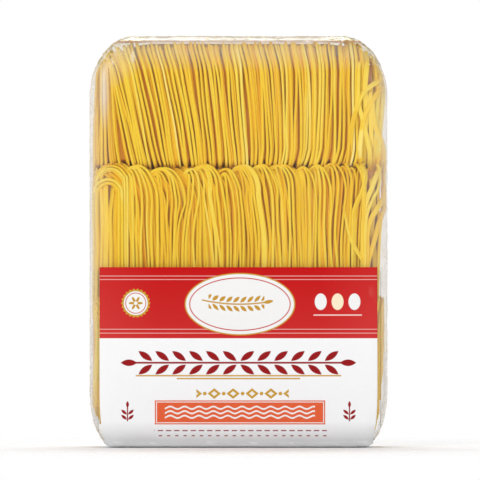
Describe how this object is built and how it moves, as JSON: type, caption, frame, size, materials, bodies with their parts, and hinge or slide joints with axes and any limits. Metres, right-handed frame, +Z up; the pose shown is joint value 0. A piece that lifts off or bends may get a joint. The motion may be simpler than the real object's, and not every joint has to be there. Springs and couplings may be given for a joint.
{
  "type": "sealed clear film pack of dried egg noodle skeins",
  "caption": "Upright sealed pack of dried egg noodles: wound skeins on a kraft card inside clear film, with a paper label round the lower half.",
  "frame": {"origin": "middle of the pack's footprint, on the surface it stands on", "axes": "+Z up along the pack's height, +X across the pack to the right seen from the front, -Y towards the viewer out of the front"},
  "size_m": [0.146, 0.042, 0.201],
  "materials": {
    "clear_film": "clear thin polypropylene film, glossy, crinkled at the corners",
    "kraft_card": "matt brown kraft board",
    "egg_noodle": "dry rough golden yellow egg dough, matt",
    "label_paper": "smooth white label paper with a red band, satin"
  },
  "bodies": {
    "root": {"film_pack": "clear_film", "backing_card": "kraft_card", "skein_upper": "egg_noodle", "skein_middle": "egg_noodle", "skein_lower": "egg_noodle", "label": "label_paper"}
  },
  "joints": []
}
